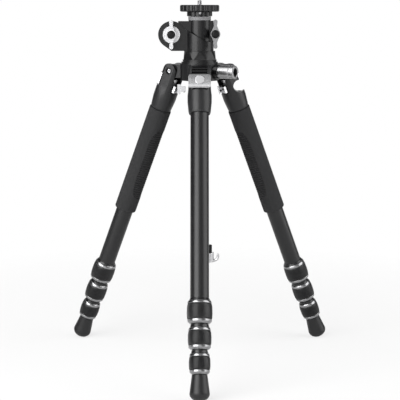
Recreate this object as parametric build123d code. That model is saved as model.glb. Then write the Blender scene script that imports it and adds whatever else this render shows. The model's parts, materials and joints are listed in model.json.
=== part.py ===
from build123d import *
import math
import os

# Compact four-section tripod with a pivoting centre-column head, in millimetres.
# Floor at z = 0, +Z up, front leg towards -Y.

# Legs
splay = 22.5
leg_length = 465.0
hinge_radius = 44.0
leg_azimuths = {"front": -90.0, "right": 30.0, "left": 150.0}
gripped_legs = ("left", "right")
scooped_leg = "right"

# Fits between pieces
seat_gap = 0.02
run_gap = 0.06
slide_gap = 0.3
face_gap = 0.2

# Leg tubes, from the top section down
tube_diameters = (26.0, 22.6, 19.4, 16.2)
foot_tube_wall = 1.2
neck_diameters = (tube_diameters[0], 24.6, 21.6)
tube_top = 38.0
nest_step = 6.0

# Twist collars, from the top one down
collar_diameters = (35.2, 32.3, 29.4)
collar_heights = (34.9, 33.2, 31.4)
collar_wall = 0.5
collar_cone = 2.7
collar_cone_drop = 2.7
collar_shoulder = 7.3
collar_ring = 2.8
collar_toe = 5.9
collar_toe_reach = 3.8
collar_lip = 6.0
band_depth = 3.0
band_top_drop = 0.8
band_low_drop = 0.7
band_crown_drop = 0.25
band_swell = 4.2
neck_height = 2.0

# Rubber foot
foot_height = 33.7
foot_dome = 25.0
foot_top_radius = 10.7
foot_flare_radius = 13.8
foot_flare_rise = 7.5
foot_socket_floor = 9.0

# Foam grip on the rear legs
grip_diameter = 33.0
grip_length = 171.0
grip_lip = 2.0
grip_lip_depth = 1.2

# Fork casting at the top of each leg
lug_width = 22.0
ear_radius = 11.0
ear_span = 32.0
barrel_radius = 17.25
barrel_end_radius = 15.75
barrel_straight = 44.0
casting_length = 61.5
casting_lip = 2.5
casting_lip_depth = 0.8
ear_straight = 8.0
ear_flare = 14.0
slot_depth = 30.0
flat_length = 22.0
flat_runout = 60.0
bolt_recess_radius = 5.2
bolt_recess_depth = 2.2

# Finger scoop through one casting
scoop_radius = 9.1
scoop_x = 59.1
scoop_drop = 22.5

# Angle lock
lock_width = 31.7
lock_top = 6.0
lock_height = 20.5
lock_pad = 8.3
lock_plate = 4.2
lock_bow_radius = 38.0
lock_crest_drop = 6.7
lock_lip_height = 2.0
lock_lip_reach = 1.8
lock_corner = 3.2
lock_disc_radius = 6.6
lock_disc_depth = 1.0
lock_disc_drop = 8.4
lock_stem_width = 16.0
lock_stem_height = 13.0
lock_stem_drop = 6.0
lock_block_width = 19.0
lock_block_height = 10.0
lock_block_drop = 13.0
lock_block_start = 8.0
lock_block_depth = 9.0
lock_rivet_plate = 2.0
lock_rivet_plate_reach = 5.0
finger_groove_radius = 2.6

# Stop plate and bar on the inside of one lock
tailed_leg = "left"
tail_plate_x = (-33.0, -28.3)
tail_plate_y = (13.5, 20.5)
tail_plate_drop = (20.0, 34.2)
tail_bar_x = (tail_plate_x[1], -20.8)
tail_bar_y = (11.5, 18.5)
tail_bar_drop = (22.8, 31.0)

# Shoulder
hub_radius = 28.0
hub_bottom_drop = 13.0
hub_height = 25.0
flange_radius = 26.9
flange_height = 2.0
lug_radius = 10.0
step_reach = 1.3
step_slot = 3.0
step_height = 2.0
step_count = 3
hinge_bolt_radius = 3.4
hinge_socket_radius = 1.9
hinge_socket_depth = 2.5
web_width = 30.0
web_reach = 24.0

# Accessory socket
socket_azimuth = -30.0
socket_radius = 9.7
socket_end = 60.0
socket_chamfer = 1.0
socket_bore_radius = 4.7625
socket_bore_depth = 14.0
socket_collar_radius = 11.0
socket_collar_length = 6.0

# Centre column
column_radius = 12.5
column_wall = 1.5
column_foot_rise = 172.0

# Head, heights measured up from the hinge axis
head_gap = 2.0
swivel_height = 14.0
swivel_sides = 8
swivel_bottom_radius = 25.6
swivel_top_radius = 22.6
swivel_rim_radius = 25.1
swivel_rim_height = 1.2
housing_radius = 20.5
seam_gap = 0.4
seam_left = (-39.7, 42.6)
seam_right = (8.0, 14.0)
seam_right_drop = 2.0
boss_x = -41.0
boss_radius = 19.3
boss_rise = 23.6
boss_depth = 20.0
skirt_angle = 35.0
sleeve_radius = 16.2
sleeve_rise = 44.0
arm_width = 10.0
arm_start = 10.0
clamp_x = 22.8
clamp_rise = 24.6
clamp_end_radius = 6.6
clamp_depth = 26.0
clamp_web = 15.0
clamp_slit = 2.0
clamp_top_drop = 0.5
ring_radius = 16.5
ring_height = 5.5
neck_radius = 18.4
column_neck_height = 6.5
platform_radius = 28.7
platform_height = 9.8
platform_bevel = 1.5
platform_scallops = 20
platform_scallop_radius = 2.4
platform_scallop_depth = 1.0
stud_radius = 3.175
stud_length = 6.7
screw_shank_radius = 4.0

# Wing knobs and the bolts under them
head_bolt_radius = 4.0
knob_hub_radius = 7.0
knob_flange_radius = 12.5
knob_flange_height = 3.0
knob_standoff = 8.0
knob_wing_depth = 7.0
knob_wing_width = 5.8
knob_wing_waist = 4.6
knob_wing_neck = 12.0
knob_wing_reach = 20.8
knob_cap_radius = 6.0
knob_cap_height = 1.6
knob_cap_seat = 0.8

# Column end cap and weight hook
cap_radius = 14.0
cap_height = 11.0
cap_plug_height = 12.0
hook_x = 14.5
hook_lug_radius = 4.0
hook_wire_radius = 2.0
hook_bend_radius = 6.5
hook_drop = 6.5
hook_tip_rise = 4.0
hook_bead_radius = 3.2
hook_bead_height = 4.0

# Heights worked out from the driving sizes
hinge_height = (leg_length - foot_dome) * math.cos(math.radians(splay)) + foot_dome
shoulder_bottom = hinge_height - hub_bottom_drop
shoulder_top = shoulder_bottom + hub_height
head_bottom = shoulder_top + flange_height + head_gap
housing_bottom = head_bottom + swivel_height
sleeve_top = housing_bottom + sleeve_rise
ring_top = sleeve_top + face_gap + ring_height
column_top = ring_top + face_gap
cap_bottom = column_foot_rise - cap_height
column_bore = column_radius + run_gap
passage_bore = column_radius + slide_gap

# Distances down the leg from the hinge to each collar's lower edge
collar_bottoms = []
rise = foot_height
for height in reversed(collar_heights):
    rise += neck_height
    collar_bottoms.insert(0, leg_length - rise)
    rise += height


def turned(points):
    """Solid of revolution about Z from (radius, z) corners."""
    outline = Polyline(*[(r, 0, z) for r, z in points], close=True)
    return revolve(make_face(outline), Axis.Z)


def plate(points, depth):
    """Plate of an (x, z) outline, centred on y = 0."""
    outline = Polyline(*[(x, 0, z) for x, z in points], close=True)
    return extrude(make_face(outline), depth / 2, dir=(0, 1, 0), both=True)


def rod(radius, length, x=0.0, y=0.0, z=0.0):
    """Round bar along Y, centred on the given point."""
    return Pos(x, y, z) * Rot(90, 0, 0) * Cylinder(radius, length)


def block(x_range, y_range, z_range):
    """Box between two corners."""
    size = [high - low for low, high in (x_range, y_range, z_range)]
    centre = [(high + low) / 2 for low, high in (x_range, y_range, z_range)]
    return Pos(*centre) * Box(*size)


def on_leg(name):
    """Placement of a leg drawn hanging down from its hinge, +X outwards."""
    turn = Rot(0, 0, leg_azimuths[name])
    return turn * Pos(hinge_radius, 0, hinge_height) * Rot(0, -splay, 0)


def finger_scoop():
    """Round bite, seen straight on from the front."""
    return rod(scoop_radius, 4 * hinge_radius, scoop_x, 0, hinge_height - scoop_drop)


def casting():
    """Fork that holds the upper tube: barrel, two ears, side flats and the lock's pad."""
    end = -casting_length
    lip_radius = barrel_end_radius - casting_lip_depth
    barrel = turned([
        (0, ear_radius), (barrel_radius, ear_radius), (barrel_radius, -barrel_straight),
        (barrel_end_radius, end + casting_lip), (lip_radius, end), (0, end),
    ])
    flare_end = -ear_straight - ear_flare
    side = Polyline((-ear_radius, 0, 0), (-ear_radius, 0, -ear_straight), (-barrel_radius, 0, flare_end),
                    (-barrel_radius, 0, end), (barrel_radius, 0, end), (barrel_radius, 0, flare_end),
                    (ear_radius, 0, -ear_straight), (ear_radius, 0, 0))
    crown = ThreePointArc((ear_radius, 0, 0), (0, 0, ear_radius), (-ear_radius, 0, 0))
    fork = barrel & extrude(make_face(side + crown), barrel_radius, dir=(0, 1, 0), both=True)
    reach = 2 * barrel_radius
    half_slot = lug_width / 2 + slide_gap
    fork -= block((-reach, reach), (-half_slot, half_slot), (-slot_depth, reach))
    pad_bottom = -lock_top - lock_height - face_gap
    fork -= block((lock_pad, reach), (-reach, reach), (pad_bottom, -lock_top + face_gap))
    fork -= rod(finger_groove_radius, 2 * reach, barrel_radius, 0, pad_bottom)
    for hand in (-1, 1):
        flat = ear_span / 2
        far = flat + reach
        sides = sorted((hand * flat, hand * far))
        fork -= block((-reach, reach), sides, (-flat_length, reach))
        cutter = Rot(0, 90, 0) * Cylinder(flat_runout, 2 * reach)
        fork -= Pos(0, hand * (flat + flat_runout), -flat_length) * cutter
        fork -= rod(bolt_recess_radius, 2 * bolt_recess_depth, 0, hand * flat, 0)
    fork -= rod(hinge_bolt_radius + run_gap, 2 * reach)
    socket = tube_diameters[0] / 2 + seat_gap
    depth = casting_length - tube_top + seat_gap
    fork -= Pos(0, 0, end) * Cylinder(socket, 2 * depth)
    return fork


def angle_lock():
    """Spring tab that stops the leg: bowed outer plate with its pull lip, stem and inner block."""
    back = lock_pad + face_gap
    face = lock_pad + lock_plate
    top = -lock_top
    bottom = top - lock_height
    crest = top - lock_crest_drop
    lip_top = bottom + lock_lip_height
    top_face = face - lock_crest_drop**2 / (2 * lock_bow_radius)
    low_face = face - (crest - lip_top)**2 / (2 * lock_bow_radius)
    lip_face = low_face + lock_lip_reach
    bow = ThreePointArc((top_face, 0, top), (face, 0, crest), (low_face, 0, lip_top))
    rest = Polyline((low_face, 0, lip_top), (lip_face, 0, lip_top), (lip_face, 0, bottom), (back, 0, bottom),
                    (back, 0, top), (top_face, 0, top))
    tab = extrude(make_face(bow + rest), lock_width / 2, dir=(0, 1, 0), both=True)
    outline = extrude(RectangleRounded(lock_height, lock_width, lock_corner), 2 * barrel_radius, both=True)
    tab &= Pos(0, 0, (top + bottom) / 2) * Rot(0, 90, 0) * outline
    disc = Rot(0, 90, 0) * Cylinder(lock_disc_radius, 2 * lock_disc_depth)
    tab += Pos(face, 0, top - lock_disc_drop) * disc
    stem_top = top - lock_stem_drop
    half_stem = lock_stem_width / 2
    tab += block((-lock_block_start, back), (-half_stem, half_stem), (stem_top - lock_stem_height, stem_top))
    block_top = top - lock_block_drop
    half_block = lock_block_width / 2
    inner = -lock_block_start - lock_block_depth
    block_bottom = block_top - lock_block_height
    tab += block((inner, -lock_block_start), (-half_block, half_block), (block_bottom, block_top))
    plate_end = inner - lock_rivet_plate_reach
    half_plate = lock_rivet_plate / 2
    tab += block((plate_end, inner), (-half_plate, half_plate), (block_bottom, block_top))
    return tab


def lock_tail():
    """Upright stop plate and bar that reach from one lock towards the column."""
    stop = block(tail_plate_x, tail_plate_y, [hinge_height - drop for drop in reversed(tail_plate_drop)])
    return stop + block(tail_bar_x, tail_bar_y, [hinge_height - drop for drop in reversed(tail_bar_drop)])


def leg_tube(index):
    """One hollow section, with the thicker neck that carries its collar."""
    outer = tube_diameters[index] / 2
    last = index == len(tube_diameters) - 1
    top = -tube_top - nest_step * index
    if last:
        bore = outer - foot_tube_wall
        bottom = -leg_length + foot_socket_floor
        return turned([(bore, top), (outer, top), (outer, bottom), (bore, bottom)])
    bore = tube_diameters[index + 1] / 2 + slide_gap
    bottom = -collar_bottoms[index] + collar_lip + face_gap
    if index == 0:
        return turned([(bore, top), (outer, top), (outer, bottom), (bore, bottom)])
    neck = neck_diameters[index] / 2
    neck_top = -collar_bottoms[index - 1] - slide_gap
    return turned([
        (bore, top), (outer, top), (outer, neck_top), (neck, neck_top), (neck, bottom), (bore, bottom),
    ])


def collar(index):
    """Twist collar: cone and bevelled ring on top, a waist for the rubber and a bevelled toe."""
    bottom = -collar_bottoms[index]
    top = bottom + collar_heights[index]
    outer = collar_diameters[index] / 2
    waist = outer - band_depth
    rim = outer - band_low_drop
    bore = neck_diameters[index] / 2 + run_gap
    lip_bore = tube_diameters[index + 1] / 2 + slide_gap
    return turned([
        (bore, top), (bore + collar_wall, top), (outer - collar_cone_drop, top - collar_cone),
        (outer - band_top_drop, top - collar_shoulder), (waist, top - collar_shoulder),
        (waist, bottom + collar_toe), (rim, bottom + collar_toe), (rim, bottom + collar_ring),
        (outer - collar_toe_reach, bottom), (lip_bore, bottom), (lip_bore, bottom + collar_lip),
        (bore, bottom + collar_lip),
    ])


def collar_sleeve(index):
    """Rubber sleeve in a collar's waist, barrelled towards its middle."""
    bottom = -collar_bottoms[index] + collar_toe + seat_gap
    top = -collar_bottoms[index] + collar_heights[index] - collar_shoulder - seat_gap
    outer = collar_diameters[index] / 2
    seat = outer - band_depth + seat_gap
    return turned([
        (seat, top), (outer - band_top_drop, top), (outer - band_crown_drop, top - band_swell),
        (outer, top - 2 * band_swell), (outer, bottom + 2 * band_swell), (outer - band_low_drop, bottom),
        (seat, bottom),
    ])


def foot():
    """Flared rubber foot with a domed sole, pushed on the last tube."""
    tip = -leg_length
    top = -collar_bottoms[-1] - slide_gap
    socket = tube_diameters[-1] / 2 + seat_gap
    floor = tip + foot_socket_floor - seat_gap
    edge_rise = foot_dome - math.sqrt(foot_dome**2 - foot_flare_radius**2)
    wall = Polyline((0, 0, tip), (0, 0, floor), (socket, 0, floor), (socket, 0, top),
                    (foot_top_radius, 0, top), (foot_flare_radius, 0, tip + foot_flare_rise),
                    (foot_flare_radius, 0, tip + edge_rise))
    half_angle = math.asin(foot_flare_radius / foot_dome) / 2
    middle = (foot_dome * math.sin(half_angle), 0, tip + foot_dome * (1 - math.cos(half_angle)))
    sole = ThreePointArc((foot_flare_radius, 0, tip + edge_rise), middle, (0, 0, tip))
    return revolve(make_face(wall + sole), Axis.Z)


def leg_grip():
    """Foam sleeve below the casting, with a bevelled lower edge."""
    bore = tube_diameters[0] / 2 + seat_gap
    outer = grip_diameter / 2
    top = -casting_length - seat_gap
    bottom = top - grip_length
    return turned([
        (bore, top), (outer - grip_lip_depth, top), (outer, top - grip_lip),
        (outer, bottom + grip_lip), (outer - grip_lip_depth, bottom), (bore, bottom),
    ])


def lug(name):
    """Tongue between a leg's ears, with the stepped stop above the angle lock."""
    half = lug_width / 2
    stop = rod(lug_radius, lug_width)
    step_bottom = -lock_top + 2 * face_gap
    step_top = step_bottom + 2 * step_count * step_height
    face = lock_pad + face_gap
    stop -= block((face - step_slot, 2 * lug_radius), (-lug_width, lug_width), (step_bottom, step_top))
    for index in range(step_count):
        low = step_bottom + index * 2 * step_height
        stop += block((0, face + step_reach), (-half, half), (low, low + step_height))
    stop = on_leg(name) * stop
    tongue = block((0, hinge_radius), (-half, half), (-lug_radius, lug_radius))
    stop += Rot(0, 0, leg_azimuths[name]) * Pos(0, 0, hinge_height) * tongue
    return stop - on_leg(name) * rod(hinge_bolt_radius + seat_gap, 2 * lug_width)


def shoulder():
    """Spider casting: hub, top flange, three lugs and the webs between them."""
    middle = (shoulder_bottom + shoulder_top) / 2
    body = Pos(0, 0, middle) * Cylinder(hub_radius, hub_height)
    body += Pos(0, 0, shoulder_top + flange_height / 2) * Cylinder(flange_radius, flange_height)
    for name, azimuth in leg_azimuths.items():
        body += lug(name)
        opposite = Rot(0, 0, azimuth + 180) * Pos(web_reach / 2, 0, middle)
        body += opposite * Box(web_reach, web_width, hub_height)
    seat = Rot(0, 0, socket_azimuth) * Pos(hub_radius, 0, hinge_height) * Rot(0, 90, 0)
    body += seat * Cylinder(socket_collar_radius, 2 * socket_collar_length)
    shank = Rot(0, 0, socket_azimuth) * Pos(0, 0, hinge_height) * Rot(0, 90, 0)
    body -= shank * Pos(0, 0, hub_radius + socket_end / 2) * Cylinder(socket_radius + seat_gap, socket_end)
    body += swivel_spigot()
    return body - Pos(0, 0, middle) * Cylinder(passage_bore, 2 * hub_height)


def accessory_socket():
    """Silver barrel with a threaded hole in its outer end."""
    start = hub_radius + seat_gap
    body = turned([
        (0, start), (socket_radius, start), (socket_radius, socket_end - socket_chamfer),
        (socket_radius - socket_chamfer, socket_end), (socket_bore_radius, socket_end),
        (socket_bore_radius, socket_end - socket_bore_depth), (0, socket_end - socket_bore_depth),
    ])
    return Rot(0, 0, socket_azimuth) * Pos(0, 0, hinge_height) * Rot(0, 90, 0) * body


def hinge_bolts():
    """Three hinge bolts with a hexagon socket in each end."""
    length = ear_span - 2 * bolt_recess_depth
    bolt = rod(hinge_bolt_radius, length)
    for hand in (-1, 1):
        key = extrude(RegularPolygon(hinge_socket_radius, 6), hinge_socket_depth, both=True)
        bolt -= Pos(0, hand * length / 2, 0) * Rot(90, 0, 0) * key
    return Compound([on_leg(name) * bolt for name in leg_azimuths])


def polygon_ring(radius, start, z):
    """Corners of a level regular polygon round the column axis."""
    step = math.radians(360 / swivel_sides)
    turns = [math.radians(start) + index * step for index in range(swivel_sides)]
    return [(radius * math.cos(turn), radius * math.sin(turn), z) for turn in turns]


def swivel_collar():
    """Faceted collar that turns on the shoulder: triangles between two polygons, on a round rim."""
    base = head_bottom + swivel_rim_height
    top = housing_bottom - face_gap
    front = leg_azimuths["front"]
    low = polygon_ring(swivel_bottom_radius, front + 180 / swivel_sides, base)
    high = polygon_ring(swivel_top_radius, front, top)
    corners = [low, high]
    for index in range(swivel_sides):
        corners.append([low[index - 1], low[index], high[index]])
        corners.append([high[index - 1], high[index], low[index - 1]])
    body = Solid(Shell([Face(Wire.make_polygon(points)) for points in corners]))
    body += Pos(0, 0, head_bottom + swivel_rim_height / 2) * Cylinder(swivel_rim_radius, swivel_rim_height)
    return body - Pos(0, 0, head_bottom) * Cylinder(passage_bore, 4 * swivel_height)


def swivel_spigot():
    """Turned seat on the shoulder that the swivel collar runs on."""
    outer = flange_radius - head_gap
    top = head_bottom - face_gap
    return turned([(passage_bore, shoulder_top), (outer, shoulder_top), (outer, top), (passage_bore, top)])


def seam(gap):
    """Outline above the slanted joint between housing and sleeve, shifted up by a gap."""
    far = 4 * boss_radius
    left_x, left_z = seam_left
    right_x, right_z = seam_right
    shift = housing_bottom + gap
    return plate([
        (-far, shift + left_z), (left_x, shift + left_z), (right_x, shift + right_z),
        (housing_radius, shift + right_z - seam_right_drop), (far, shift + right_z - seam_right_drop),
        (far, shift + far), (-far, shift + far),
    ], far)


def lower_housing():
    """Housing round the column, with the pivot boss and its straight skirt on the left."""
    boss_z = housing_bottom + boss_rise
    half_boss = boss_depth / 2
    body = Pos(0, 0, housing_bottom + sleeve_rise / 2) * Cylinder(housing_radius, sleeve_rise)
    body += block((boss_x, 0), (-half_boss, half_boss), (housing_bottom, sleeve_top))
    body -= seam(0)
    lean = math.radians(skirt_angle)
    touch_x = boss_x - boss_radius * math.sin(lean)
    touch_z = boss_z - boss_radius * math.cos(lean)
    skirt_end = touch_x + (touch_z - housing_bottom) / math.tan(lean)
    body += plate([(boss_x, boss_z), (touch_x, touch_z), (skirt_end, housing_bottom)], boss_depth)
    body += rod(boss_radius, boss_depth, boss_x, 0, boss_z)
    half_slot = arm_width / 2 + face_gap
    body -= rod(boss_radius - head_gap + slide_gap, 2 * half_slot, boss_x, 0, boss_z)
    body -= block((boss_x - boss_radius, boss_x + boss_radius), (-half_slot, half_slot), (boss_z, sleeve_top))
    body -= rod(head_bolt_radius + seat_gap, 2 * boss_depth, boss_x, 0, boss_z)
    return body - Pos(0, 0, housing_bottom) * Cylinder(passage_bore, 4 * sleeve_rise)


def upper_sleeve():
    """Split sleeve that clamps the column, with its arm to the pivot and its clamp ears."""
    boss_z = housing_bottom + boss_rise
    clamp_z = housing_bottom + clamp_rise
    arm_top = boss_z + boss_radius
    half_boss = boss_depth / 2
    half_web = clamp_web / 2
    half_arm = arm_width / 2
    half_slit = clamp_slit / 2
    body = Pos(0, 0, housing_bottom + sleeve_rise / 2) * Cylinder(sleeve_radius, sleeve_rise)
    root = block((boss_x + arm_start, 0), (-half_boss, half_boss), (housing_bottom, arm_top))
    body += root - rod(boss_radius + seam_gap, 2 * boss_depth, boss_x, 0, boss_z)
    body += block((0, clamp_x), (-half_web, half_web), (housing_bottom, sleeve_top - clamp_top_drop))
    body &= seam(seam_gap)
    tongue_end = boss_x + boss_radius - face_gap
    body += block((boss_x, tongue_end), (-half_arm, half_arm), (boss_z, arm_top - head_gap))
    body += rod(clamp_end_radius, clamp_depth, clamp_x, 0, clamp_z)
    body += rod(boss_radius - head_gap, arm_width, boss_x, 0, boss_z)
    body -= rod(head_bolt_radius + seat_gap, 2 * boss_depth, boss_x, 0, boss_z)
    body -= rod(head_bolt_radius + seat_gap, 2 * clamp_depth, clamp_x, 0, clamp_z)
    body -= block((0, 2 * clamp_x), (-half_slit, half_slit), (housing_bottom, sleeve_top + sleeve_rise))
    return body - Pos(0, 0, housing_bottom) * Cylinder(column_bore, 4 * sleeve_rise)


def bearing_ring():
    """Grey ring on the sleeve's top end."""
    base = sleeve_top + face_gap / 2
    return turned([
        (column_bore, base), (ring_radius, base), (ring_radius, base + ring_height),
        (column_bore, base + ring_height),
    ])


def head_bolt(x, z, depth):
    """Bolt along Y that a wing knob turns on."""
    tail = depth / 2
    front = tail + knob_standoff + knob_wing_depth / 2
    return rod(head_bolt_radius, tail + front, x, (tail - front) / 2, z)


def wing_knob(x, z, depth, flange_radius):
    """Wing knob facing the front: flange, hub and two upright wings that narrow to a waist."""
    back = -depth / 2 - face_gap
    front = back - knob_standoff
    wing_front = front - knob_wing_depth
    body = rod(flange_radius, knob_flange_height, x, back - knob_flange_height / 2, z)
    body += rod(knob_hub_radius, back - wing_front, x, (back + wing_front) / 2, z)
    half = knob_wing_width / 2
    waist = knob_wing_waist / 2
    tip = knob_wing_reach - half
    for hand in (-1, 1):
        neck = hand * knob_wing_neck
        end = hand * tip
        wing = plate([(-knob_hub_radius, 0), (knob_hub_radius, 0), (waist, neck), (half, end), (-half, end),
                      (-waist, neck)], knob_wing_depth)
        wing += rod(half, knob_wing_depth, 0, 0, hand * tip)
        body += Pos(x, front - knob_wing_depth / 2, z) * wing
    body -= rod(knob_cap_radius + seat_gap, 2 * knob_cap_seat, x, wing_front, z)
    tail = front - knob_wing_depth / 2 - run_gap
    return body - rod(head_bolt_radius + run_gap, 2 * abs(tail), x, 0, z)


def knob_cap(x, z, depth):
    """Plain domed cap in a knob's front."""
    front = -depth / 2 - face_gap - knob_standoff - knob_wing_depth
    seat = knob_cap_seat - seat_gap
    rim = turned([
        (0, -seat), (knob_cap_radius, -seat), (knob_cap_radius, knob_cap_height / 2),
        (knob_cap_radius - knob_cap_height, knob_cap_height), (0, knob_cap_height),
    ])
    return Pos(x, front, z) * Rot(90, 0, 0) * rim


def column_tube():
    """Hollow centre column."""
    inner = column_radius - column_wall
    return turned([
        (inner, column_foot_rise), (column_radius, column_foot_rise), (column_radius, column_top),
        (inner, column_top),
    ])


def column_neck():
    """Neck under the platform, plugged into the column."""
    plug = column_radius - column_wall - seat_gap
    base = column_top + seat_gap
    return turned([
        (0, base - cap_plug_height), (plug, base - cap_plug_height), (plug, base), (neck_radius, base),
        (neck_radius, base + column_neck_height), (0, base + column_neck_height),
    ])


def camera_platform():
    """Round platform with a scalloped rim."""
    base = column_top + column_neck_height + 2 * seat_gap
    top = base + platform_height
    disc = turned([
        (screw_shank_radius + seat_gap, base), (platform_radius - platform_bevel, base),
        (platform_radius, base + platform_bevel), (platform_radius, top - platform_bevel),
        (platform_radius - platform_bevel, top), (screw_shank_radius + seat_gap, top),
    ])
    ring = platform_radius + platform_scallop_radius - platform_scallop_depth
    cutter = Cylinder(platform_scallop_radius, 4 * platform_height)
    for place in PolarLocations(ring, platform_scallops):
        disc -= Pos(0, 0, base) * place * cutter
    return disc


def camera_screw():
    """Camera screw standing out of the platform."""
    base = column_top + column_neck_height + 2 * seat_gap
    top = base + platform_height
    return turned([
        (0, base), (screw_shank_radius, base), (screw_shank_radius, top), (stud_radius, top),
        (stud_radius, top + stud_length), (0, top + stud_length),
    ])


def column_cap():
    """End cap of the column with the side lug that carries the hook."""
    plug = column_radius - column_wall - seat_gap
    top = column_foot_rise - seat_gap
    body = turned([
        (0, cap_bottom), (cap_radius, cap_bottom), (cap_radius, top), (plug, top),
        (plug, top + cap_plug_height), (0, top + cap_plug_height),
    ])
    centre = (cap_bottom + top) / 2
    body += Pos(hook_x, 0, centre) * Cylinder(hook_lug_radius, top - cap_bottom)
    return body - Pos(hook_x, 0, centre) * Cylinder(hook_wire_radius + run_gap, 2 * cap_height)


def weight_hook():
    """Wire hook that swivels in the cap's lug, with a bead under the lug."""
    bend_z = cap_bottom - hook_drop
    tip_x = hook_x + 2 * hook_bend_radius
    bend = ThreePointArc((hook_x, 0, bend_z), (hook_x + hook_bend_radius, 0, bend_z - hook_bend_radius),
                         (tip_x, 0, bend_z))
    shank = Line((hook_x, 0, cap_bottom + cap_height / 2), (hook_x, 0, bend_z))
    tip = Line((tip_x, 0, bend_z), (tip_x, 0, bend_z + hook_tip_rise))
    start = Plane((hook_x, 0, cap_bottom + cap_height / 2), z_dir=(0, 0, -1))
    wire = sweep(start * Circle(hook_wire_radius), path=Wire([shank.edge(), bend.edge(), tip.edge()]))
    bead_z = cap_bottom - slide_gap - hook_bead_height / 2
    bead = Pos(hook_x, 0, bead_z) * Cylinder(hook_bead_radius, hook_bead_height)
    return wire + bead


def leg_parts(name):
    """Every piece of one leg, placed, by node name."""
    place = on_leg(name)
    pieces = {f"{name}_casting": casting(), f"{name}_angle_lock": angle_lock(), f"{name}_foot": foot()}
    for index in range(len(tube_diameters)):
        pieces[f"{name}_tube_{index + 1}"] = leg_tube(index)
    for index in range(len(collar_diameters)):
        pieces[f"{name}_collar_{index + 1}"] = collar(index)
        pieces[f"{name}_collar_sleeve_{index + 1}"] = collar_sleeve(index)
    if name in gripped_legs:
        pieces[f"{name}_grip"] = leg_grip()
    placed = {node: place * piece for node, piece in pieces.items()}
    if name == scooped_leg:
        for node in (f"{name}_casting", f"{name}_angle_lock"):
            placed[node] -= finger_scoop()
    if name == tailed_leg:
        placed[f"{name}_angle_lock"] += lock_tail()
    return placed


def head_parts():
    """Every piece of the shoulder, head and column, by node name."""
    pivot = (boss_x, housing_bottom + boss_rise, boss_depth)
    clamp = (clamp_x, housing_bottom + clamp_rise, clamp_depth)
    return {
        "shoulder": shoulder(),
        "hinge_bolts": hinge_bolts(),
        "accessory_socket": accessory_socket(),
        "swivel_collar": swivel_collar(),
        "lower_housing": lower_housing(),
        "upper_sleeve": upper_sleeve(),
        "bearing_ring": bearing_ring(),
        "pivot_bolt": head_bolt(*pivot),
        "pivot_knob": wing_knob(*pivot, knob_flange_radius),
        "pivot_knob_cap": knob_cap(*pivot),
        "clamp_bolt": head_bolt(*clamp),
        "clamp_knob": wing_knob(*clamp, knob_hub_radius),
        "clamp_knob_cap": knob_cap(*clamp),
        "column_tube": column_tube(),
        "column_neck": column_neck(),
        "camera_platform": camera_platform(),
        "camera_screw": camera_screw(),
        "column_cap": column_cap(),
        "weight_hook": weight_hook(),
    }


def assembly():
    """All pieces by node name, and the place of the column axis in the part's frame."""
    parts = head_parts()
    for name in leg_azimuths:
        parts.update(leg_parts(name))
    box = Compound(list(parts.values())).bounding_box()
    axis = Pos(-box.center().X, -box.center().Y, -box.min.Z)
    return {node: axis * piece for node, piece in parts.items()}, axis


def main():
    parts, axis = assembly()
    os.makedirs("parts", exist_ok=True)
    for node, piece in parts.items():
        export_step(piece, f"parts/{node}.step")
    print(f"{len(parts)} nodes, column axis at {axis.position}")


if __name__ == "__main__":
    main()
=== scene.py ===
import json
import math

import bmesh
import bpy
import numpy as np
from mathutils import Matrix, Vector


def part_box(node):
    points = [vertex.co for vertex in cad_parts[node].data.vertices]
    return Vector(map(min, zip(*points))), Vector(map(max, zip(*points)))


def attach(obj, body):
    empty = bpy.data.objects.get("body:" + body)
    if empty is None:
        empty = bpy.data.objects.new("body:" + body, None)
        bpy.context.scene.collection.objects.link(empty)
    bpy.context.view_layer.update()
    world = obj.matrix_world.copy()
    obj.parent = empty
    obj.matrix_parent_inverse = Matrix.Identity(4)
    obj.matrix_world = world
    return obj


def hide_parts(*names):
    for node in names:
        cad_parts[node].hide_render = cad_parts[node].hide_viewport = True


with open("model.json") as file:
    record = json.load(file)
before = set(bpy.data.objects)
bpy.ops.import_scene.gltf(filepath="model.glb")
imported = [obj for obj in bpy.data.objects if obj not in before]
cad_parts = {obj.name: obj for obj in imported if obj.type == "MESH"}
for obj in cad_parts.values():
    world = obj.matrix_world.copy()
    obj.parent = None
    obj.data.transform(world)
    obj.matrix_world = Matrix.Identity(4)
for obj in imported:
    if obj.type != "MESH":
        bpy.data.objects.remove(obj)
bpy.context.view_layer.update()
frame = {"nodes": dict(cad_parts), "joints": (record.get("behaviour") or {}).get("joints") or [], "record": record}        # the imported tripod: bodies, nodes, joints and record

nodes = frame["nodes"]
joints = {joint["name"]: joint for joint in frame["joints"]}
slotOf = {part["node"]: part["material_slot"] for part in frame["record"]["subparts"]}
bodyOf = {node: body for body, members in frame["record"]["behaviour"]["bodies"].items() for node in members}
mm = 0.001
nearly = 0.01 * mm       # lengths closer than this count as equal


# Shader maths: an expression on Field values adds its Math nodes.
class Field:
    def __init__(self, tree, socket=None):
        self.tree = tree
        self.socket = socket

    def node(self, kind, settings=None, sockets=None, out=0):
        made = self.tree.nodes.new(kind)
        for key, value in (settings or {}).items():
            setattr(made, key, value)
        for key, value in (sockets or {}).items():
            if isinstance(value, Field):
                self.tree.links.new(value.socket, made.inputs[key])
            else:
                made.inputs[key].default_value = value
        return Field(self.tree, made.outputs[out] if made.outputs else None)

    def maths(self, operation, first, second):
        return self.node("ShaderNodeMath", {"operation": operation}, {0: first, 1: second})

    def __add__(self, other):
        return self.maths("ADD", self, other)

    def __radd__(self, other):
        return self.maths("ADD", other, self)

    def __sub__(self, other):
        return self.maths("SUBTRACT", self, other)

    def __rsub__(self, other):
        return self.maths("SUBTRACT", other, self)

    def __mul__(self, other):
        return self.maths("MULTIPLY", self, other)

    def __rmul__(self, other):
        return self.maths("MULTIPLY", other, self)


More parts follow.
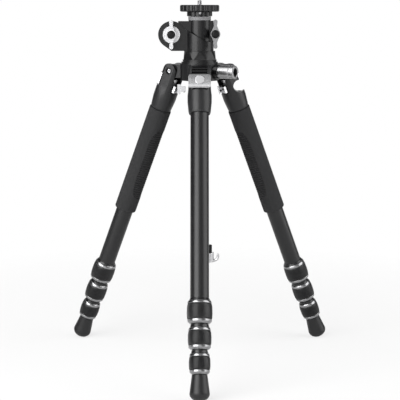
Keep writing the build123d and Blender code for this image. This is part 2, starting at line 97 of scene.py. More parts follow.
def newFinish(name):
    material = bpy.data.materials.new(name)
    material.use_nodes = True
    material.node_tree.nodes.clear()
    return material, Field(material.node_tree)


def ownLengths(graph):
    return graph.node("ShaderNodeAttribute", {"attribute_name": "own"}, out="Vector")


def grain(graph, scale, stretch=(1, 1, 1), detail=2.0):
    # noise on the piece's own lengths, in cells per metre, stretched along its axes
    laid = graph.node("ShaderNodeMapping", sockets={"Vector": ownLengths(graph), "Scale": stretch})
    return graph.node("ShaderNodeTexNoise", sockets={"Vector": laid, "Scale": scale, "Detail": detail})


def between(graph, factor, look):
    # colour that runs from dark to light with the factor
    colours = {0: factor, 6: (*look["dark"], 1), 7: (*look["light"], 1)}
    return graph.node("ShaderNodeMix", {"data_type": "RGBA"}, colours, out=2)


def relief(graph, height, depth):
    return graph.node("ShaderNodeBump", sockets={"Height": height, "Distance": depth, "Strength": 1.0})


def lacquer(graph, sockets):
    shader = graph.node("ShaderNodeBsdfPrincipled", sockets=sockets)
    graph.node("ShaderNodeOutputMaterial", sockets={"Surface": shader})


def grainedFinish(name, look):
    # fine grain lifts and roughens the surface; its tone is the grain, or the grain mixed with a broad cloud
    material, graph = newFinish(name)
    fine = grain(graph, look["grain"], look.get("stretch", (1, 1, 1)), look.get("detail", 2.0))
    tone = fine
    if "cloud" in look:
        tone = fine * look["grainTone"] + grain(graph, look["cloud"]) * (1 - look["grainTone"])
    lacquer(graph, {
        "Base Color": between(graph, tone, look),
        "Roughness": look["rough"] + look["roughSpan"] * fine,
        "Metallic": look.get("metal", 0.0),
        "Specular IOR Level": look.get("shine", 0.5),
        "Normal": relief(graph, fine, look["depth"]),
    })
    return material


# Powder coat: a fine orange peel, slightly uneven in tone.
powderCoat = {
    "dark": (0.009, 0.009, 0.0095), "light": (0.017, 0.017, 0.018), "grain": 1500.0, "detail": 3.0,
    "cloud": 90.0, "grainTone": 0.6, "depth": 0.04 * mm, "rough": 0.32, "roughSpan": 0.10, "shine": 0.36,
}

# Satin coat of the head: smoother and darker than the powder coat.
satinCoat = {
    "dark": (0.004, 0.004, 0.0045), "light": (0.008, 0.008, 0.0085), "grain": 2100.0, "detail": 3.0,
    "cloud": 110.0, "grainTone": 0.5, "depth": 0.012 * mm, "rough": 0.26, "roughSpan": 0.08, "shine": 0.32,
}

# Moulded rubber: a faint spark-eroded texture; the feet are a little duller than the collar bands.
mouldedRubber = {
    "dark": (0.005, 0.005, 0.0055), "light": (0.011, 0.011, 0.0115), "grain": 2200.0, "detail": 3.0,
    "cloud": 140.0, "grainTone": 0.5, "depth": 0.03 * mm, "rough": 0.27, "roughSpan": 0.16, "shine": 0.42,
}
footRubber = {**mouldedRubber, "rough": 0.30, "shine": 0.40}

# Satin silver: blasted and anodised metal with a soft grain. The locks are polished, the socket and the
# clamp knob are duller, and the collars are turned in a darker grey.
blastedSilver = {
    "dark": (0.50, 0.50, 0.51), "light": (0.64, 0.64, 0.65), "grain": 2800.0, "cloud": 220.0,
    "grainTone": 0.5, "depth": 0.003 * mm, "rough": 0.38, "roughSpan": 0.10, "metal": 1.0,
}
polishedSilver = {**blastedSilver, "rough": 0.20}
castSilver = {
    **blastedSilver, "dark": (0.30, 0.30, 0.305), "light": (0.44, 0.44, 0.445), "grain": 1800.0,
    "depth": 0.004 * mm, "rough": 0.32,
}
dullSilver = {**castSilver, "dark": (0.20, 0.20, 0.205), "light": (0.30, 0.30, 0.305), "grain": 2400.0}
turnedGrey = {
    **blastedSilver, "dark": (0.24, 0.24, 0.245), "light": (0.34, 0.34, 0.345), "stretch": (0.04, 0.04, 1),
    "depth": 0.002 * mm, "rough": 0.18,
}

# Steel of the bolts, screw and hook: fine turning marks.
turnedSteel = {
    "dark": (0.42, 0.42, 0.43), "light": (0.66, 0.66, 0.67), "grain": 5200.0, "stretch": (0.08, 0.08, 1),
    "cloud": 300.0, "grainTone": 0.4, "depth": 0.005 * mm, "rough": 0.22, "roughSpan": 0.14, "metal": 1.0,
}

# Grey anodised ring: turning marks alone.
greyAnodised = {
    "dark": (0.16, 0.16, 0.165), "light": (0.21, 0.21, 0.215), "grain": 4200.0, "stretch": (0.05, 0.05, 1),
    "depth": 0.006 * mm, "rough": 0.46, "roughSpan": 0.10, "shine": 0.3,
}

# Moulded plastic: smooth caps, glossy collar cones, matt inner fittings.
smoothPlastic = {
    "dark": (0.003, 0.003, 0.0035), "light": (0.007, 0.007, 0.0075), "grain": 1800.0, "depth": 0.008 * mm,
    "rough": 0.26, "roughSpan": 0.12, "shine": 0.16,
}
glossyPlastic = {**smoothPlastic, "rough": 0.20, "shine": 0.50}
mattePlastic = {**smoothPlastic, "rough": 0.5, "shine": 0.20}

# Satin anodised tube: drawn lines run along it.
drawnTube = {
    "dark": (0.005, 0.005, 0.0055), "light": (0.009, 0.009, 0.0095), "lines": 2600.0,
    "stretch": (1, 1, 0.012), "cloud": 60.0, "depth": 0.004 * mm, "rough": 0.27, "lineRough": 0.08,
    "cloudRough": 0.04, "shine": 0.42,
}


def drawnTubeFinish():
    # the cloud gives the tone, the lines give the relief, and both roughen the surface
    material, graph = newFinish("drawnTube")
    lines = grain(graph, drawnTube["lines"], drawnTube["stretch"])
    cloud = grain(graph, drawnTube["cloud"])
    lacquer(graph, {
        "Base Color": between(graph, cloud, drawnTube),
        "Roughness": drawnTube["rough"] + drawnTube["lineRough"] * lines + drawnTube["cloudRough"] * cloud,
        "Normal": relief(graph, lines, drawnTube["depth"]),
        "Specular IOR Level": drawnTube["shine"],
    })
    return material


# Closed-cell foam: small cells in a soft grey skin, with painted shade that darkens the grooves below the
# skin's radius.
foam = {
    "dark": (0.006, 0.006, 0.0065), "light": (0.034, 0.034, 0.035), "cells": 1500.0, "cloud": 160.0,
    "detail": 4.0, "depth": 0.16 * mm, "skinRadius": 16.5 * mm, "grooveDepth": 1.0 * mm, "paintedGrooveShade": 0.85,
    "baseTone": 0.20, "cellTone": 0.35, "cloudTone": 0.30, "rough": 0.80, "roughSpan": 0.15, "shine": 0.30,
}


def foamFinish():
    material, graph = newFinish("closedCellFoam")
    own = ownLengths(graph)
    laid = {"Vector": own, "Scale": foam["cells"]}
    cells = graph.node("ShaderNodeTexVoronoi", sockets=laid, out="Distance")
    cloud = grain(graph, foam["cloud"], detail=foam["detail"])
    # painted shade: the skin's tone darkens as the surface sinks below the skin's radius into the rib grooves
    across = graph.node("ShaderNodeMapping", sockets={"Vector": own, "Scale": (1, 1, 0)})
    radius = graph.node("ShaderNodeVectorMath", {"operation": "LENGTH"}, {0: across}, out=1)
    sunk = (foam["skinRadius"] - radius) * (1 / foam["grooveDepth"])
    groove = graph.node("ShaderNodeClamp", sockets={"Value": sunk})
    skinTone = foam["cellTone"] * cells + foam["cloudTone"] * cloud + foam["baseTone"]
    lacquer(graph, {
        "Base Color": between(graph, skinTone * (1 - foam["paintedGrooveShade"] * groove), foam),
        "Roughness": foam["rough"] + foam["roughSpan"] * cloud,
        "Normal": relief(graph, cells, foam["depth"]),
        "Specular IOR Level": foam["shine"],
    })
    return material


finishes = {
    "casting_black": grainedFinish("powderCoat", powderCoat),
    "satin_black": grainedFinish("satinCoat", satinCoat),
    "tube_black": drawnTubeFinish(),
    "rubber_black": grainedFinish("mouldedRubber", mouldedRubber),
    "foot_rubber": grainedFinish("footRubber", footRubber),
    "foam_grey": foamFinish(),
    "silver": grainedFinish("blastedSilver", blastedSilver),
    "smooth_silver": grainedFinish("polishedSilver", polishedSilver),
    "rough_silver": grainedFinish("castSilver", castSilver),
    "dull_silver": grainedFinish("dullSilver", dullSilver),
    "turned_silver": grainedFinish("turnedGrey", turnedGrey),
    "ring_grey": grainedFinish("greyAnodised", greyAnodised),
    "steel": grainedFinish("turnedSteel", turnedSteel),
    "cap_black": grainedFinish("smoothPlastic", smoothPlastic),
    "cone_black": grainedFinish("glossyPlastic", glossyPlastic),
    "guide_black": grainedFinish("mattePlastic", mattePlastic),
}
print("finishes:", len(finishes))


# Places: an origin and three axes. A leg hangs from its hinge: x outwards, y along the hinge, z up the leg.
def legPlace(leg):
    outward = np.array(joints[f"{leg}_lock_pull"]["axis"])
    up = -np.array(joints[f"{leg}_twist_1_turn"]["axis"])
    hinge = np.array(joints[f"{leg}_leg_fold"]["pos_m"])
    return hinge, np.array([outward, np.cross(up, outward), up])


legNames = ("front", "right", "left")
legPlaces = {leg: legPlace(leg) for leg in legNames}
columnFoot = np.array(joints["head_swivel"]["pos_m"]) * (1, 1, 0)
headPlace = (columnFoot, np.eye(3))
facingFront = np.array([[1.0, 0.0, 0.0], [0.0, 0.0, 1.0], [0.0, -1.0, 0.0]])
hingeSides = {"near": -1, "far": 1}


def facingSide(axes, hand):
    # axes of a disc whose z runs along the hinge, towards one side
    return np.array([axes[0], hand * np.cross(axes[1], axes[0]), hand * axes[1]])


def axisDistance(points):
    return np.hypot(points[..., 0], points[..., 1])


def axisAngle(points):
    return np.arctan2(points[..., 1], points[..., 0])


def cornersOf(node, place):
    # the node's corners in the place's own axes
    corners = np.empty(len(nodes[node].data.vertices) * 3, np.float32)
    nodes[node].data.vertices.foreach_get("co", corners)
    origin, axes = place
    return (corners.reshape(-1, 3).astype(float) - origin) @ axes.T


def ringsOf(node, place):
    # heights of a turned node's edges, lowest first, with the least and greatest radius at each
    own = cornersOf(node, place)
    radius = axisDistance(own)
    height = np.round(own[:, 2], 5)
    return [(z, radius[height == z].min(), radius[height == z].max()) for z in np.unique(height)]


# Surfaces: grids of points in a place's own axes.
cornerSteps = np.array([-0.3, 0.0, 0.2, 0.4, 0.6, 0.8, 1.0, 1.3])
cornerRoom = 0.38        # share of its shorter side that a rounded corner may take


def softened(corners, reach, closed=True):
    # each corner becomes a parabola: corner + reach * ((1 - s)^2 towards the last one + s^2 towards the
    # next), and one straight step before and after it keeps the flats flat
    here = np.asarray(corners, float)
    last = np.roll(here, 1, 0) - here
    following = np.roll(here, -1, 0) - here
    lastLength = np.linalg.norm(last, axis=1, keepdims=True)
    nextLength = np.linalg.norm(following, axis=1, keepdims=True)
    room = cornerRoom * np.minimum(lastLength, nextLength)
    span = np.minimum(np.broadcast_to(reach, len(here))[:, None], room)[:, None]
    inside = np.clip(cornerSteps, 0, 1)
    beyond = np.abs(cornerSteps - inside)
    lastWeight = ((1 - inside) ** 2 + beyond * (cornerSteps < 0))[None, :, None]
    nextWeight = (inside ** 2 + beyond * (cornerSteps > 1))[None, :, None]
    bent = here[:, None] + span * (lastWeight * (last / lastLength)[:, None]
                                   + nextWeight * (following / nextLength)[:, None])
    if closed:
        return bent.reshape(-1, 2)
    return np.concatenate([here[:1], bent[1:-1].reshape(-1, 2), here[-1:]])


def turned(profile, count, start=0.0):
    # profile of (radius, height) carried round the axis in equal steps
    angle = start + np.arange(count) * 2 * math.pi / count
    radius = profile[:, 0][:, None]
    height = np.broadcast_to(profile[:, 1][:, None], (len(profile), count))
    return np.stack([radius * np.cos(angle), radius * np.sin(angle), height], -1)


def ripple(points, change):
    # moves a turned grid's points in or out by a change of radius for each point
    radius = axisDistance(points)
    factor = (radius + change) / np.maximum(radius, 1e-9)
    return points * np.stack([factor, factor, np.ones_like(factor)], -1)


def swept(path, radius, count):
    # circle carried along a path in the xz plane: point + radius * (cos a across the path + sin a along y)
    heading = np.gradient(path, axis=0)
    heading /= np.linalg.norm(heading, axis=1, keepdims=True)
    across = np.stack([heading[:, 1], -heading[:, 0]], -1)
    angle = np.arange(count) * 2 * math.pi / count
    offset = radius[:, None] * np.cos(angle)
    x = path[:, 0][:, None] + offset * across[:, 0][:, None]
    z = path[:, 1][:, None] + offset * across[:, 1][:, None]
    y = radius[:, None] * np.sin(angle)
    return np.stack([x, y, z], -1)


# Meshes: welded grids, or bevelled copies of a node's triangles; the angles tell edges from flats.
meshLook = {
    "gridWeld": 0.0001 * mm, "copyWeld": 0.002 * mm, "flatAngle": math.radians(0.6),
    "bevelAngle": math.radians(27), "bevelSegments": 3, "shadeAngle": math.radians(34),
}


def gridMesh(name, points, place, closed):
    # quads between neighbouring points; columns meet round the axis, and rows too for a closed profile
    rows, columns = points.shape[:2]
    index = np.arange(rows * columns).reshape(rows, columns)
    upper = index if closed else index[:-1]
    lower = np.roll(index, -1, 0) if closed else index[1:]
    quads = np.stack([upper, np.roll(upper, -1, 1), np.roll(lower, -1, 1), lower], -1).reshape(-1, 4)
    origin, axes = place
    mesh = bpy.data.meshes.new(name)
    mesh.from_pydata((origin + points.reshape(-1, 3) @ axes).tolist(), [], quads.tolist())
    grid = bmesh.new()
    grid.from_mesh(mesh)
    bmesh.ops.remove_doubles(grid, verts=grid.verts, dist=meshLook["gridWeld"])
    if grid.calc_volume(signed=True) < 0:
        bmesh.ops.reverse_faces(grid, faces=grid.faces)
    grid.to_mesh(mesh)
    grid.free()
    return mesh


def bevelledCopy(name, node, width):
    # the node's triangles merged into flats, with its sharp edges rounded over
    copy = bmesh.new()
    copy.from_mesh(nodes[node].data)
    bmesh.ops.remove_doubles(copy, verts=copy.verts, dist=meshLook["copyWeld"])
    bmesh.ops.dissolve_limit(copy, angle_limit=meshLook["flatAngle"], verts=copy.verts, edges=copy.edges)
    joined = [edge for edge in copy.edges if edge.is_manifold]
    sharp = [edge for edge in joined if edge.calc_face_angle(0) > meshLook["bevelAngle"]]
    bmesh.ops.bevel(copy, geom=sharp, offset=width, offset_type="OFFSET", segments=meshLook["bevelSegments"],
                    profile=0.5, affect="EDGES", clamp_overlap=True)
    mesh = bpy.data.meshes.new(name)
    copy.to_mesh(mesh)
    copy.free()
    return mesh


def settle(name, mesh, place, body, slot, finish, *replaced):
    # shades the mesh, writes its own lengths for the finish, and makes it ride on its body
    mesh.shade_smooth()
    mesh.set_sharp_from_angle(angle=meshLook["shadeAngle"])
    origin, axes = place
    corners = np.empty(len(mesh.vertices) * 3, np.float32)
    mesh.vertices.foreach_get("co", corners)
    own = ((corners.reshape(-1, 3) - origin) @ axes.T).astype(np.float32)
    mesh.attributes.new("own", "FLOAT_VECTOR", "POINT").data.foreach_set("vector", own.ravel())
    mesh.materials.clear()
    mesh.materials.append(finishes[finish])
    piece = bpy.data.objects.new(name, mesh)
    bpy.context.scene.collection.objects.link(piece)
    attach(piece, body)
    if replaced:
        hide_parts(*replaced)
    return piece


def skin(node, points, place, closed=True, finish=None):
    # a numpy surface that stands for a node
    name = f"{node}_skin"
    slot = slotOf[node]
    mesh = gridMesh(name, points, place, closed)
    return settle(name, mesh, place, bodyOf[node], slot, finish or slot, node)


def trim(name, points, place, body, slot, finish=None, closed=False):
    # a small numpy surface beside the nodes
    return settle(name, gridMesh(name, points, place, closed), place, body, slot, finish or slot)


def shell(node, place, width, finish=None):
    # a bevelled copy that stands for a node
    name = f"{node}_shell"
    slot = slotOf[node]
    piece = settle(name, bevelledCopy(name, node, width), place, bodyOf[node], slot, finish or slot, node)
    evener = piece.modifiers.new("evenFlats", "WEIGHTED_NORMAL")
    evener.keep_sharp = True
    return piece


# Leg tubes: hollow sections; the inner ones carry a thicker neck for their collar.
tubeLook = {"edge": 0.5 * mm, "round": 96}


def legTube(leg, index):
    # the wall's section, with softened corners, carried round the leg
    place = legPlaces[leg]
    node = f"{leg}_tube_{index}"
    rings = ringsOf(node, place)
    bottom, bore, low = rings[0]
    top, _, high = rings[-1]
    corners = [(bore, bottom), (low, bottom), (high, top), (bore, top)]
    if len(rings) > 2:
        neckTop = rings[1][0]
        corners = [(bore, bottom), (low, bottom), (low, neckTop), (high, neckTop), (high, top), (bore, top)]
    skin(node, turned(softened(corners, tubeLook["edge"]), tubeLook["round"]), place)


# Twist collars: a black cone, a silver ring, a ribbed barrelled rubber band, and a silver toe ring.
# Heights count from the collar's ends, drops count in from the band's crown.
collarLook = {
    "cone": 2.7 * mm, "ring": 7.3 * mm, "toe": 5.9 * mm, "bevel": 2.8 * mm, "coneDrop": 2.7 * mm,
    "ringDrop": 0.8 * mm, "toeDrop": 0.75 * mm, "bevelDrop": 3.8 * mm, "toeTaper": 0.25 * mm,
    "lip": 0.3 * mm, "coneSeat": 0.5 * mm, "seatGap": 0.03 * mm, "arcStart": 0.35, "arcSteps": 6,
    "edge": 0.4 * mm, "round": 120,
}
coneLook = {
    "gap": 0.05 * mm, "rim": 0.4 * mm, "setback": 0.2 * mm, "lift": 0.25 * mm, "undercut": 0.4 * mm,
    "foot": 0.6 * mm, "edge": 0.2 * mm,
}
bandLook = {
    "ribs": 68, "perRib": 8, "ribDepth": 0.5 * mm, "halfGroove": 2, "rows": 19, "topDrop": 0.85 * mm,
    "lowDrop": 0.55 * mm, "barrel": 2.4, "topGap": 0.25 * mm, "lowGap": 0.35 * mm, "lip": 0.5 * mm,
    "lipStart": 0.955, "ribEnd": 0.94, "ribFade": 9,
}


def collarLevels(leg, index):
    # top, bottom, bore, bore of the lip, top of the lip, seat of the rubber and greatest radius
    place = legPlaces[leg]
    metal = ringsOf(f"{leg}_collar_{index}", place)
    band = ringsOf(f"{leg}_collar_sleeve_{index}", place)
    bottom, lipBore, _ = metal[0]
    top, bore, _ = metal[-1]
    lipTop = max(ring[0] for ring in metal if ring[1] < lipBore + nearly)
    return top, bottom, bore, lipBore, lipTop, band[0][1], max(ring[2] for ring in band)


def twistCollar(leg, index):
    # the ring's face is an arc of an ellipse: radius + spread * sin a, height - fall * cos a
    place = legPlaces[leg]
    top, bottom, bore, lipBore, lipTop, seat, outer = collarLevels(leg, index)
    look = collarLook
    ringTop = top - look["cone"]
    bandTop = top - look["ring"]
    bandLow = bottom + look["toe"]
    ringFoot = outer - look["coneDrop"]
    ringCrown = outer - look["ringDrop"]
    toeCrown = outer - look["toeDrop"]
    mouth = top - look["lip"]
    waist = seat - look["seatGap"]
    swing = np.linspace(look["arcStart"], 1, look["arcSteps"]) * math.pi / 2
    spread = (np.sin(swing) - np.sin(swing[0])) / (1 - np.sin(swing[0]))
    fall = (np.cos(swing[0]) - np.cos(swing)) / np.cos(swing[0])
    ringRadius = ringFoot + (ringCrown - ringFoot) * spread
    ringHeight = ringTop - (ringTop - bandTop - look["edge"]) * fall
    corners = [
        (bore, mouth), (bore + look["lip"], mouth), (ringFoot - look["coneSeat"], ringTop),
        *np.stack([ringRadius, ringHeight], -1), (ringCrown - look["lip"], bandTop),
        (waist, bandTop), (waist, bandLow), (toeCrown - look["lip"], bandLow),
        (toeCrown, bandLow - look["edge"]), (toeCrown - look["toeTaper"], bottom + look["bevel"]),
        (outer - look["bevelDrop"], bottom),
        (lipBore, bottom), (lipBore, lipTop), (bore, lipTop),
    ]
    metal = turned(softened(corners, look["edge"]), look["round"])
    skin(f"{leg}_collar_{index}", metal, place, finish="turned_silver")
    coneFoot = ringFoot - coneLook["setback"]
    coneBore = bore + coneLook["gap"]
    cone = softened([
        (coneBore, top), (bore + coneLook["rim"], top), (coneFoot, ringTop + coneLook["lift"]),
        (coneFoot - coneLook["undercut"], ringTop + coneLook["gap"]), (coneBore, ringTop + coneLook["foot"]),
    ], coneLook["edge"])
    trim(f"{leg}_collar_cone_{index}", turned(cone, look["round"]), place, f"{leg}_twist_{index}",
         "cap_black", "cone_black", closed=True)


def collarBand(leg, index):
    # radius = outer - drop * |t|^p from the crown to each end, less a V groove between the ribs
    place = legPlaces[leg]
    top, bottom, _, _, _, seat, outer = collarLevels(leg, index)
    look = bandLook
    high = top - collarLook["ring"] - look["topGap"]
    low = bottom + collarLook["toe"] + look["lowGap"]
    t = np.linspace(-1, 1, look["rows"])
    drop = np.where(t > 0, look["topDrop"], look["lowDrop"]) * np.abs(t) ** look["barrel"]
    drop += look["lip"] * np.clip((np.abs(t) - look["lipStart"]) / (1 - look["lipStart"]), 0, 1) ** 2
    face = np.stack([outer - drop, (low + high) / 2 + t * (high - low) / 2], -1)
    profile = np.concatenate([[(seat, low)], face, [(seat, high)]])
    count = look["ribs"] * look["perRib"]
    step = np.arange(count) % look["perRib"]
    groove = np.clip(1 - np.minimum(step, look["perRib"] - step) / look["halfGroove"], 0, 1)
    fade = np.concatenate([[0], np.clip((look["ribEnd"] - np.abs(t)) * look["ribFade"], 0, 1), [0]])
    ribbed = ripple(turned(profile, count), -look["ribDepth"] * fade[:, None] * groove)
    skin(f"{leg}_collar_sleeve_{index}", ribbed, place)


# Rubber foot: a straight cone on a rounded sole, with one shallow groove.
footLook = {
    "round": 96, "rimLift": 3.0 * mm, "groove": 5.6 * mm, "grooveDepth": 0.3 * mm, "grooveWidth": 0.5 * mm,
    "sideCurve": 0.9, "soleCurve": 0.95, "soleSteps": 26, "wallSteps": 40, "lip": 0.6 * mm,
}


def rubberFoot(leg):
    # a near quarter ellipse turns the sole into the flare, then the cone runs straight up to the neck
    place = legPlaces[leg]
    node = f"{leg}_foot"
    look = footLook
    rings = ringsOf(node, place)
    tip = rings[0][0]
    top, socket, neck = rings[-1]
    flare = max(ring[2] for ring in rings)
    floor = min(ring[0] for ring in rings if abs(ring[2] - socket) < nearly)
    rim = max(ring[0] for ring in rings if ring[2] > flare - nearly) + look["rimLift"]
    swing = np.linspace(0, math.pi / 2, look["soleSteps"])
    soleRadius = flare * np.sin(swing) ** look["sideCurve"]
    soleHeight = rim - (rim - tip) * np.cos(swing) ** look["soleCurve"]
    t = np.linspace(0, 1, look["wallSteps"])[1:]
    radius = np.concatenate([soleRadius, flare + (neck - flare) * t])
    height = np.concatenate([soleHeight, rim + (top - look["lip"] - rim) * t])
    radius -= look["grooveDepth"] * np.exp(-((height - tip - look["groove"]) / look["grooveWidth"]) ** 2)
    inner = [(neck - look["lip"], top), (socket, top), (socket, floor), (0, floor)]
    profile = np.concatenate([np.stack([radius, height], -1), inner])
    skin(node, turned(profile, look["round"]), place, closed=False, finish="foot_rubber")


# Foam grip: a smooth sleeve with a long panel of cross ribs on the side that faces the column.
gripLook = {
    "round": 96, "rows": 330, "edge": 1.6 * mm, "edgeShare": 0.8, "panelTop": 31 * mm,
    "panelLength": 116 * mm, "panelHalfAngle": math.radians(58), "sideCurve": 3.2, "endCurve": 5,
    "border": 0.16, "ribPitch": 3.6 * mm, "ribDepth": 1.1 * mm, "ribCurve": 1.5, "panelSink": 0.25,
    "wall": 0.1 * mm,
}


def foamGrip(leg):
    # inside the panel's superellipse the radius sinks by a share of the rib depth and waves with the height
    place = legPlaces[leg]
    node = f"{leg}_grip"
    look = gripLook
    rings = ringsOf(node, place)
    bottom, bore, _ = rings[0]
    top = rings[-1][0]
    outer = max(ring[2] for ring in rings)
    height = top + np.linspace(0, 1, look["rows"]) * (bottom - top)
    nearEnd = np.clip(np.minimum(height - bottom, top - height) / look["edge"], 0, 1)
    drop = look["edge"] * (1 - np.sqrt(np.clip(1 - (1 - nearEnd) ** 2, 0, 1)))
    wall = np.stack([outer - drop * look["edgeShare"], height], -1)
    profile = np.concatenate([[(bore, top)], wall, [(bore, bottom)]])
    points = turned(profile, look["round"], start=math.pi / look["round"])
    angle = np.arctan2(points[..., 1], -points[..., 0])
    halfLength = look["panelLength"] / 2
    along = (top - look["panelTop"] - halfLength - points[..., 2]) / halfLength
    outside = np.abs(angle / look["panelHalfAngle"]) ** look["sideCurve"] + np.abs(along) ** look["endCurve"]
    panel = np.clip((1 - outside) / look["border"], 0, 1)
    panel = panel ** 2 * (3 - 2 * panel)
    wave = 0.5 - 0.5 * np.cos(2 * math.pi * points[..., 2] / look["ribPitch"])
    sunk = look["panelSink"] + (1 - look["panelSink"]) * wave ** look["ribCurve"]
    onWall = axisDistance(points) > bore + look["wall"]
    piece = skin(node, ripple(points, -look["ribDepth"] * panel * sunk * onWall), place)


# Angle lock: a polished tab with its pull lip, a matt disc on it, and a dark rivet at each side of its plate.
lockLook = {
    "bevel": 0.7 * mm, "discRise": 0.15 * mm, "discInset": 0.25 * mm, "discEdge": 0.4 * mm,
    "discSoft": 0.2 * mm, "discRound": 64, "rivetRadius": 1.9 * mm, "rivetRise": 0.9 * mm,
    "rivetSink": 0.3 * mm, "rivetInset": 2.6 * mm, "rivetSteps": 8, "rivetRound": 28,
}


def angleLock(leg):
    # the disc is a flat profile turned round the pull axis; a rivet is a quarter ellipse turned about an axis
    # along the hinge
    place = legPlaces[leg]
    node = f"{leg}_angle_lock"
    look = lockLook
    shell(node, place, look["bevel"], "smooth_silver")
    origin, axes = place
    own = cornersOf(node, place)
    tabFace = own[:, 0].max()
    tab = own[own[:, 0] > tabFace - nearly]
    low, high = tab[:, 2].min(), tab[:, 2].max()
    radius = (high - low) / 2 - look["discInset"]
    disc = softened([
        (0, look["discRise"]), (radius - look["discEdge"], look["discRise"]), (radius, 0),
        (radius, -look["discEdge"]), (0, -look["discEdge"]),
    ], look["discSoft"], closed=False)
    seat = origin + np.array([tabFace, 0, (low + high) / 2]) @ axes
    outwards = np.array([axes[1], axes[2], axes[0]])
    trim(f"{leg}_lock_disc", turned(disc, look["discRound"]), (seat, outwards), f"{leg}_lock", "silver")
    plateEnd = own[:, 0].min()
    plate = own[own[:, 0] < plateEnd + nearly]
    halfPlate = plate[:, 1].max()
    middle = (plate[:, 2].max() + plate[:, 2].min()) / 2
    swing = np.linspace(0, math.pi / 2, look["rivetSteps"])
    dome = np.stack([look["rivetRadius"] * np.sin(swing), look["rivetRise"] * np.cos(swing)], -1)
    rivet = np.concatenate([dome, [(look["rivetRadius"], -look["rivetSink"]), (0, -look["rivetSink"])]])
    for word, hand in hingeSides.items():
        seat = origin + np.array([plateEnd + look["rivetInset"], hand * halfPlate, middle]) @ axes
        trim(f"{leg}_lock_rivet_{word}", turned(rivet, look["rivetRound"]), (seat, facingSide(axes, hand)),
             f"{leg}_lock", "cap_black")


# Dark hinge rings: thin dark rings round the bolt's ends on the fork's outer faces; they are painted shade
# that stands in for the shadow in the bolt's counterbore.
shadeRingLook = {
    "bore": 3.5 * mm, "outer": 5.2 * mm, "rise": 0.25 * mm, "near": 7 * mm, "edge": 0.1 * mm, "round": 64,
}


def hingeShadeRings(leg):
    # a low rectangle with softened corners turned round the hinge, on the faces nearest to it
    node = f"{leg}_casting"
    look = shadeRingLook
    origin, axes = legPlaces[leg]
    own = cornersOf(node, legPlaces[leg])
    face = np.abs(own[np.hypot(own[:, 0], own[:, 2]) < look["near"]][:, 1]).max()
    bore, outer, rise = look["bore"], look["outer"], look["rise"]
    corners = [(bore, 0), (outer, 0), (outer, rise), (bore, rise)]
    ring = turned(softened(corners, look["edge"]), look["round"])
    body = bodyOf[node]
    for word, hand in hingeSides.items():
        place = (origin + hand * face * axes[1], facingSide(axes, hand))
        # each ring is painted shade: a dark sheet where the counterbore's shadow falls
        trim(f"{leg}_hinge_shade_ring_{word}", ring, place, body, "cap_black", "guide_black", closed=True)


castingLook = {"bevel": 0.8 * mm}
for leg in legNames:
    for index in (1, 2, 3, 4):
        legTube(leg, index)
    for index in (1, 2, 3):
        twistCollar(leg, index)
        collarBand(leg, index)
    rubberFoot(leg)
    shell(f"{leg}_casting", legPlaces[leg], castingLook["bevel"])
    angleLock(leg)
    hingeShadeRings(leg)
    if f"{leg}_grip" in nodes:
        foamGrip(leg)
    print("leg dressed:", leg)


# Shoulder, head housings, knobs, bolts and the column's end cap: bevelled copies of the solids.
shellBevels = {
    "shoulder": 0.8 * mm, "hinge_bolts": 0.4 * mm, "swivel_collar": 0.5 * mm, "lower_housing": 0.6 * mm,
    "upper_sleeve": 0.5 * mm, "pivot_bolt": 0.4 * mm, "pivot_knob": 0.7 * mm, "clamp_bolt": 0.4 * mm,
    "clamp_knob": 0.7 * mm, "column_cap": 0.6 * mm,
}
shellFinishes = {
    "shoulder": "satin_black", "swivel_collar": "satin_black", "lower_housing": "satin_black",
    "upper_sleeve": "satin_black", "clamp_knob": "dull_silver",
}
for node, width in shellBevels.items():
    shell(node, headPlace, width, shellFinishes.get(node))
print("shoulder and head dressed:", len(shellBevels), "pieces")


# Column and grey bearing ring.
columnLook = {"edge": 0.5 * mm, "round": 96}


def columnRing(node):
    # the wall's rectangle, with softened corners, carried round the column
    rings = ringsOf(node, headPlace)
    bottom, bore, outer = rings[0]
    top = rings[-1][0]
    wall = softened([(bore, bottom), (outer, bottom), (outer, top), (bore, top)], columnLook["edge"])
    skin(node, turned(wall, columnLook["round"]), headPlace)


# Column neck: rounded lobes above a plain plug.
neckLook = {"lobes": 8, "lobeDepth": 1.3 * mm, "lobeCurve": 0.7, "edge": 0.7 * mm, "round": 160}


def columnNeck():
    # the radius falls by the lobe depth between one lobe and the next, as 1 - |cos|^p
    rings = ringsOf("column_neck", headPlace)
    plugBottom, _, plug = rings[0]
    base = rings[1][0]
    top, _, outer = rings[-1]
    corners = [(0, plugBottom), (plug, plugBottom), (plug, base), (outer, base), (outer, top), (0, top)]
    points = turned(softened(corners, neckLook["edge"], closed=False), neckLook["round"])
    outside = np.clip((axisDistance(points) - plug) / (outer - plug), 0, 1)
    lobe = np.abs(np.cos(neckLook["lobes"] / 2 * axisAngle(points))) ** neckLook["lobeCurve"]
    lobed = ripple(points, -neckLook["lobeDepth"] * (1 - lobe) * outside)
    skin("column_neck", lobed, headPlace, closed=False, finish="satin_black")


# Camera platform: scalloped rim and fine rings on its top face.
platformLook = {
    "bevel": 1.3 * mm, "edge": 0.6 * mm, "scallops": 20, "perScallop": 14, "scallopDepth": 1.2 * mm,
    "scallopCurve": 0.8, "scallopBand": 2.2 * mm, "rings": 7, "ringDepth": 0.3 * mm, "ringSteps": 90,
    "ringInset": 3.9 * mm, "ringBore": 2 * mm,
}


